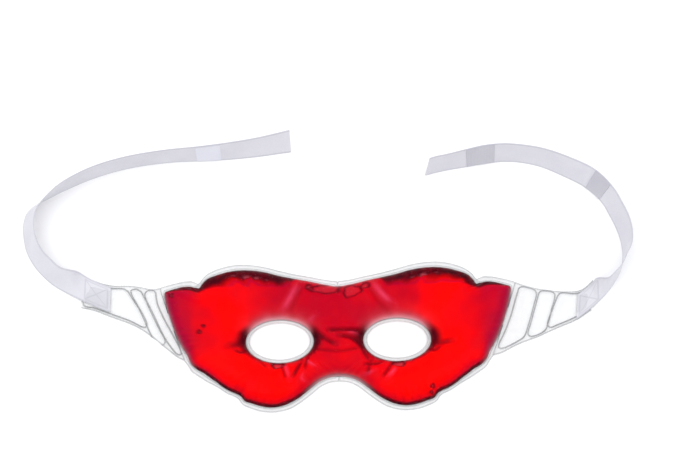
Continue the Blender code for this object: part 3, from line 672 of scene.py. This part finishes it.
def build_strap(name, hand, first, last, thick=STRAP_THICK, inset=0.0, away=0.0, hem=False, step=0.8):
    """A closed ribbon between two station numbers. It carries along (mm from its end in the tab) and across (mm)."""
    total = len(STRAPS[hand]) - 1
    reach = strap_lengths(hand)
    where = np.linspace(0, total, 900)
    a, b = np.interp([first, last], where, reach)
    count = max(int((b - a) / (step * 1)), 4)
    at = np.interp(np.linspace(a, b, count), reach, where)
    low, up = zip(*(strap_rows(hand, v, v, 1) for v in at))
    low, up = np.vstack(low), np.vstack(up)
    across = (up - low) / STRAP_WIDTH
    along = np.gradient((low + up) / 2, axis=0)
    normal = np.cross(along, across)
    normal /= np.linalg.norm(normal, axis=1)[:, None]
    width = STRAP_WIDTH - 2 * inset
    rows = np.array([0, 0.3, 0.7, 1.2, 1.6, 3, 5, 8, 11, 13, 14.4, 14.8, 15.3, 15.7, 16]) * width / 16 + inset
    edge = np.minimum(rows - inset, width - (rows - inset))
    half = thick / 2 * (0.55 + 0.45 * ease(edge / 0.3)) + 0.07 * np.exp(-(((edge - 0.75) / 0.35) ** 2))
    front, back = [], []
    for v, h in zip(rows, half):
        line = low + across * v + normal * away
        s = np.linspace(a, b, count)
        h = h + (0.22 * ease((s - (b - 3.6)) / 0.5) * 0.5 if hem else 0)
        front.append(line + normal * np.reshape(h, (-1, 1)))
        back.append(line - normal * np.reshape(h, (-1, 1)))
    nv = len(rows)
    f = np.stack(front, 1).reshape(-1, 3)
    k = np.stack(back, 1).reshape(-1, 3)
    faces = grid_faces(count, nv)
    n = len(f)
    if (normals_of(f, faces) * np.repeat(normal, nv, axis=0)).sum() < 0:
        faces = faces[:, ::-1]
    rim = [(n + p, n + q, q, p) for p, q in boundary_edges(faces)]
    obj = make(name, np.vstack([f, k]), np.vstack([faces, faces[:, ::-1] + n, np.array(rim)]))
    obj.data.set_sharp_from_angle(angle=math.radians(50))
    along_mm = np.repeat(np.linspace(a, b, count), nv)
    across_mm = np.tile(rows, count)
    attribute(obj, "along", np.append(along_mm, along_mm))
    attribute(obj, "across", np.append(across_mm, across_mm))
    return obj, (b - a, width)


# ---------------------------------------------------------------- materials
def new_material(name):
    made = bpy.data.materials.new(name)
    made.use_nodes = True
    tree = made.node_tree
    return made, tree, tree.nodes["Principled BSDF"]


def node(tree, kind, **values):
    made = tree.nodes.new(kind)
    for key, value in values.items():
        if key in made.inputs:
            made.inputs[key].default_value = value
        else:
            setattr(made, key, value)
    return made


def ramp(tree, source, stops):
    made = tree.nodes.new("ShaderNodeValToRGB")
    made.color_ramp.elements.remove(made.color_ramp.elements[1])
    made.color_ramp.elements[0].position = stops[0][0]
    made.color_ramp.elements[0].color = (*stops[0][1], 1)
    for place, colour in stops[1:]:
        made.color_ramp.elements.new(place).color = (*colour, 1)
    tree.links.new(source, made.inputs["Fac"])
    return made


def math_node(tree, how, a, b=None, clamp=False):
    made = tree.nodes.new("ShaderNodeMath")
    made.operation = how
    made.use_clamp = clamp
    for i, value in enumerate((a, b)):
        if value is None:
            continue
        if isinstance(value, (int, float)):
            made.inputs[i].default_value = value
        else:
            tree.links.new(value, made.inputs[i])
    return made.outputs[0]


def attr(tree, name):
    made = tree.nodes.new("ShaderNodeAttribute")
    made.attribute_name = name
    return made.outputs["Fac"]


def mix(tree, fac, a, b, how="MIX"):
    made = tree.nodes.new("ShaderNodeMix")
    made.data_type = "RGBA"
    made.blend_type = how
    for place, value in ((0, fac), (6, a), (7, b)):
        if isinstance(value, (int, float)):
            made.inputs[place].default_value = value
        elif isinstance(value, tuple):
            made.inputs[place].default_value = (*value, 1)
        else:
            tree.links.new(value, made.inputs[place])
    return made.outputs[2]


def object_coords(tree, scale=(1, 1, 1)):
    coords = tree.nodes.new("ShaderNodeTexCoord")
    mapping = tree.nodes.new("ShaderNodeMapping")
    mapping.inputs["Scale"].default_value = scale
    tree.links.new(coords.outputs["Object"], mapping.inputs["Vector"])
    return mapping.outputs["Vector"]


def noise_tex(tree, vector, scale, detail=3, rough=0.5):
    made = tree.nodes.new("ShaderNodeTexNoise")
    made.inputs["Scale"].default_value = scale
    made.inputs["Detail"].default_value = detail
    made.inputs["Roughness"].default_value = rough
    tree.links.new(vector, made.inputs["Vector"])
    return made.outputs["Fac"]


def bump(tree, shader, height, distance, strength=1.0):
    made = tree.nodes.new("ShaderNodeBump")
    made.inputs["Distance"].default_value = distance
    made.inputs["Strength"].default_value = strength
    tree.links.new(height, made.inputs["Height"])
    tree.links.new(made.outputs["Normal"], shader.inputs["Normal"])


def film_material():
    """Clear film: nearly all see-through, greyer where it is folded into a weld bead or seen edge on."""
    made, tree, shader = new_material("clear_vinyl_film")
    vector = object_coords(tree)
    tree.links.new(mix(tree, attr(tree, "line"), (0.44, 0.45, 0.455), (0.13, 0.135, 0.14)), shader.inputs["Base Color"])
    shader.inputs["Roughness"].default_value = 0.16
    shader.inputs["IOR"].default_value = 1.5
    edge = tree.nodes.new("ShaderNodeLayerWeight")
    edge.inputs["Blend"].default_value = 0.5
    grazing = math_node(tree, "POWER", edge.outputs["Facing"], 3.0)
    cloud = noise_tex(tree, vector, 420, 3, 0.5)
    haze_and_sheen = math_node(tree, "MULTIPLY", math_node(tree, "ADD", math_node(tree, "MULTIPLY", cloud, 0.10), 0.07), math_node(tree, "POWER", attr(tree, "free"), 2.0))
    see = math_node(tree, "ADD", haze_and_sheen, math_node(tree, "MULTIPLY", math_node(tree, "MULTIPLY", grazing, attr(tree, "free")), 0.11))
    see = math_node(tree, "ADD", see, math_node(tree, "MULTIPLY", attr(tree, "line"), 0.66), clamp=True)
    tree.links.new(see, shader.inputs["Alpha"])
    bump(tree, shader, cloud, 0.0001, 0.5)
    return made


def gel_material():
    made, tree, shader = new_material("red_gel")
    vector = object_coords(tree)
    broad = noise_tex(tree, vector, 55, 3, 0.55)
    streak = noise_tex(tree, object_coords(tree, (1, 0.5, 1)), 190, 4, 0.6)
    wander = math_node(tree, "ADD", math_node(tree, "MULTIPLY", math_node(tree, "SUBTRACT", broad, 0.5), 0.5),
                       math_node(tree, "MULTIPLY", math_node(tree, "SUBTRACT", streak, 0.5), 0.35))
    warm = math_node(tree, "ADD", attr(tree, "warm"), wander)
    body = ramp(tree, warm, [
        (0.0, (0.47, 0.0, 0.012)), (0.3, (0.57, 0.0, 0.009)), (0.65, (0.73, 0.0, 0.004)), (1.0, (0.90, 0.0, 0.0)),
    ]).outputs[0]
    # painted sheen: pale pink over the eye openings
    haze_and_sheen = math_node(tree, "MULTIPLY", attr(tree, "haze_and_sheen"), 0.75, clamp=True)
    body = mix(tree, haze_and_sheen, body, (0.70, 0.10, 0.15))
    gleam = math_node(tree, "MULTIPLY", math_node(tree, "MULTIPLY", attr(tree, "gleam"), 0.55), math_node(tree, "ADD", streak, 0.35), clamp=True)
    body = mix(tree, gleam, body, (0.78, 0.07, 0.17))
    # painted purple shade on the slanted ends and the brow band
    purple_shade = math_node(tree, "MULTIPLY", attr(tree, "purple_shade"), 0.9, clamp=True)
    body = mix(tree, purple_shade, body, (0.20, 0.001, 0.042))
    # painted shade in the crease valleys and in the pucker troughs
    body = mix(tree, math_node(tree, "MULTIPLY", attr(tree, "crease"), 0.85, clamp=True), body, (0.10, 0.0, 0.005))
    body = mix(tree, math_node(tree, "MULTIPLY", attr(tree, "pucker"), 0.35, clamp=True), body, (0.10, 0.0, 0.005))
    # painted shade: the maroon rim band and the crescents beside the eyes
    edge_shade = math_node(tree, "MULTIPLY", attr(tree, "edge_shade"), math_node(tree, "ADD", math_node(tree, "MULTIPLY", streak, 0.5), 0.7), clamp=True)
    body = mix(tree, edge_shade, body, (0.045, 0.0, 0.004))
    air = math_node(tree, "MULTIPLY", attr(tree, "air"), 0.15, clamp=True)
    body = mix(tree, air, body, (0.62, 0.09, 0.13))
    # painted shade round each bubble's outline
    edge = math_node(tree, "MULTIPLY", attr(tree, "air_edge"), 0.9, clamp=True)
    body = mix(tree, edge, body, (0.10, 0.0, 0.006))
    # painted highlight on the gel's brink
    body = mix(tree, math_node(tree, "MULTIPLY", attr(tree, "brink_highlight"), 0.85, clamp=True), body, (0.86, 0.46, 0.50))
    tree.links.new(body, shader.inputs["Base Color"])
    shader.inputs["Roughness"].default_value = 0.3
    shader.inputs["Specular IOR Level"].default_value = 0.03
    shader.inputs["Subsurface Weight"].default_value = 0.2
    shader.inputs["Subsurface Radius"].default_value = (1.0, 0.03, 0.03)
    shader.inputs["Subsurface Scale"].default_value = 0.003
    ripple = noise_tex(tree, vector, 330, 4, 0.55)
    bump(tree, shader, ripple, 0.0002, 0.5)
    return made


def separate(tree, vector):
    made = tree.nodes.new("ShaderNodeSeparateXYZ")
    tree.links.new(vector, made.inputs[0])
    return made.outputs


def ribbon_material(name="sheer_ribbon", tone=(0.75, 0.745, 0.79), shade=(0.61, 0.60, 0.66), coarse=1.0):
    """Fine woven ribbon: warp lines along it, weft across it, a denser selvedge on both edges."""
    made, tree, shader = new_material(name)
    along, across = attr(tree, "along"), attr(tree, "across")
    warp = math_node(tree, "SINE", math_node(tree, "MULTIPLY", across, 2 * math.pi / (0.42 * coarse)))
    weft = math_node(tree, "SINE", math_node(tree, "MULTIPLY", along, 2 * math.pi / (0.5 * coarse)))
    weave = math_node(tree, "ADD", math_node(tree, "MULTIPLY", warp, 0.5), math_node(tree, "MULTIPLY", weft, 0.5))
    vector = object_coords(tree)
    cloud = noise_tex(tree, vector, 60, 3, 0.5)
    fibre = noise_tex(tree, vector, 900, 3, 0.6)
    tint = math_node(tree, "ADD", math_node(tree, "MULTIPLY", weave, 0.16), math_node(tree, "ADD", math_node(tree, "MULTIPLY", cloud, 0.5), math_node(tree, "MULTIPLY", fibre, 0.3)))
    colour = ramp(tree, tint, [(0.1, shade), (0.75, tone)]).outputs[0]
    edge = math_node(tree, "ABSOLUTE", math_node(tree, "SUBTRACT", across, 8.0))
    selvedge = math_node(tree, "MULTIPLY", math_node(tree, "SUBTRACT", edge, 6.75), 3.0, clamp=True)
    colour = mix(tree, math_node(tree, "MULTIPLY", selvedge, 0.5), colour, (0.47, 0.465, 0.52))
    # the weld that holds the ribbon in its tab: a box with its diagonals
    u = math_node(tree, "DIVIDE", math_node(tree, "ABSOLUTE", math_node(tree, "SUBTRACT", along, 9.6)), 7.6)
    v = math_node(tree, "DIVIDE", math_node(tree, "ABSOLUTE", math_node(tree, "SUBTRACT", across, 8.0)), 6.1)
    far = math_node(tree, "MAXIMUM", u, v)
    cross = math_node(tree, "SUBTRACT", 1.0, math_node(tree, "MULTIPLY", math_node(tree, "ABSOLUTE", math_node(tree, "SUBTRACT", u, v)), 9.0), clamp=True)
    cross = math_node(tree, "MULTIPLY", cross, math_node(tree, "LESS_THAN", far, 1.0))
    box = math_node(tree, "SUBTRACT", 1.0, math_node(tree, "MULTIPLY", math_node(tree, "ABSOLUTE", math_node(tree, "SUBTRACT", far, 1.0)), 9.0), clamp=True)
    weld = math_node(tree, "MAXIMUM", cross, box)
    colour = mix(tree, math_node(tree, "MULTIPLY", weld, 0.55), colour, (0.45, 0.445, 0.50))
    tree.links.new(colour, shader.inputs["Base Color"])
    shader.inputs["Roughness"].default_value = 0.55
    shader.inputs["Sheen Weight"].default_value = 0.25
    shader.inputs["Sheen Roughness"].default_value = 0.4
    shader.inputs["Transmission Weight"].default_value = 0.0
    bump(tree, shader, weave, 0.00006, 0.8)
    return made


def floor_material():
    made, tree, shader = new_material("studio_floor")
    vector = object_coords(tree)
    tone = ramp(tree, noise_tex(tree, vector, 3, 2, 0.5), [(0.3, (0.93, 0.93, 0.935)), (0.7, (0.95, 0.95, 0.95))])
    tree.links.new(tone.outputs[0], shader.inputs["Base Color"])
    shader.inputs["Roughness"].default_value = 0.7
    shader.inputs["Specular IOR Level"].default_value = 0.2
    return made


FILM_MAT, GEL_MAT, RIBBON_MAT = film_material(), gel_material(), ribbon_material()
HOOK_MAT = ribbon_material("hook_tape", (0.56, 0.555, 0.60), (0.44, 0.435, 0.49), 1.9)
LOOP_MAT = ribbon_material("loop_tape", (0.78, 0.785, 0.84), (0.66, 0.67, 0.75), 1.5)


def paint(obj, made):
    obj.data.materials.clear()
    obj.data.materials.append(made)


# ---------------------------------------------------------------- assembly
gel, front_film = build_pouch()
back_film = build_back_film()
paint(gel, GEL_MAT)
paint(front_film, FILM_MAT)
paint(back_film, FILM_MAT)
for piece, start, end in ((gel, -15, 19), (front_film, -15, 19), (back_film, -15, 19)):
    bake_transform(piece)
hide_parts("gel_fill_left", "gel_fill_right")
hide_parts("front_film_left", "front_film_right")
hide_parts("back_film_left", "back_film_right")

for hand, side in (("left", -1), ("right", 1)):
    front, back = build_tab(hand, side)
    for piece, nodes_for in ((front, f"{hand}_tab_front_film"), (back, f"{hand}_tab_back_film")):
        paint(piece, FILM_MAT)
        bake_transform(piece)
        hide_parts(nodes_for)

MEET = {"left": 8.0, "right": 4.6}
for hand in ("left", "right"):
    last = len(STRAPS[hand]) - 1
    root, root_size = build_strap(f"{hand}_strap_root", hand, 0, MEET[hand])
    tail, tail_size = build_strap(f"{hand}_strap_free", hand, MEET[hand], last, hem=True)
    for piece, size in ((root, root_size), (tail, tail_size)):
        paint(piece, RIBBON_MAT)
    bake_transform(root)
    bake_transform(tail)
    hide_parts(f"{hand}_strap_end", f"{hand}_strap")
    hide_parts(f"{hand}_strap_tail")

PATCHES = {
    "left_loop_patch": ("left", 17.9, 18.7, LOOP_MAT, "loop_tape", "strap_tail_left"),
    "right_hook_patch": ("right", 17.5, 18.9, HOOK_MAT, "hook_tape", "strap_tail_right"),
    "right_hook_patch_inner": ("right", 12.15, 12.95, HOOK_MAT, "hook_tape", "strap_tail_right"),
}
for name, (hand, first, last, made, slot, body) in PATCHES.items():
    away = (1 if hand == "left" else -1) * 0.42
    patch, size = build_strap(name + "_tape", hand, first, last, thick=0.36, inset=0.5, away=away, step=0.5)
    paint(patch, made)
    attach(patch, body)
    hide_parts(name)

# ---------------------------------------------------------------- stage
scene = bpy.context.scene
floor_mesh = bpy.data.meshes.new("floor")
floor_mesh.from_pydata([(-6, -6, -0.0001), (6, -6, -0.0001), (6, 6, -0.0001), (-6, 6, -0.0001)], [], [(0, 1, 2, 3)])
floor = bpy.data.objects.new("floor", floor_mesh)
scene.collection.objects.link(floor)
floor.data.materials.append(floor_material())

world = bpy.data.worlds.new("studio")
scene.world = world
world.use_nodes = True
tree = world.node_tree
background = tree.nodes["Background"]
background.inputs["Color"].default_value = (0.97, 0.98, 1.0, 1)
background.inputs["Strength"].default_value = 0.92


def area(name, at, look, size, power, colour=(1, 1, 1)):
    data = bpy.data.lights.new(name, "AREA")
    data.shape, data.size, data.energy, data.color = "RECTANGLE", size[0], power, colour
    data.size_y = size[1]
    obj = bpy.data.objects.new(name, data)
    scene.collection.objects.link(obj)
    obj.location = at
    obj.rotation_euler = (Vector(look) - Vector(at)).to_track_quat("-Z", "Y").to_euler()


area("softbox_left", (-1.3, 0.2, 2.4), (0, 0.05, 0), (2.2, 2.2), 22)
area("softbox_right", (1.4, 0.0, 2.4), (0, 0.05, 0), (2.2, 2.2), 18)
area("softbox_back", (0.2, 2.6, 1.2), (0, 0.05, 0), (2.2, 0.8), 5)

scene.view_settings.view_transform = "Standard"
scene.view_settings.look = "None"
scene.view_settings.exposure = 0.0
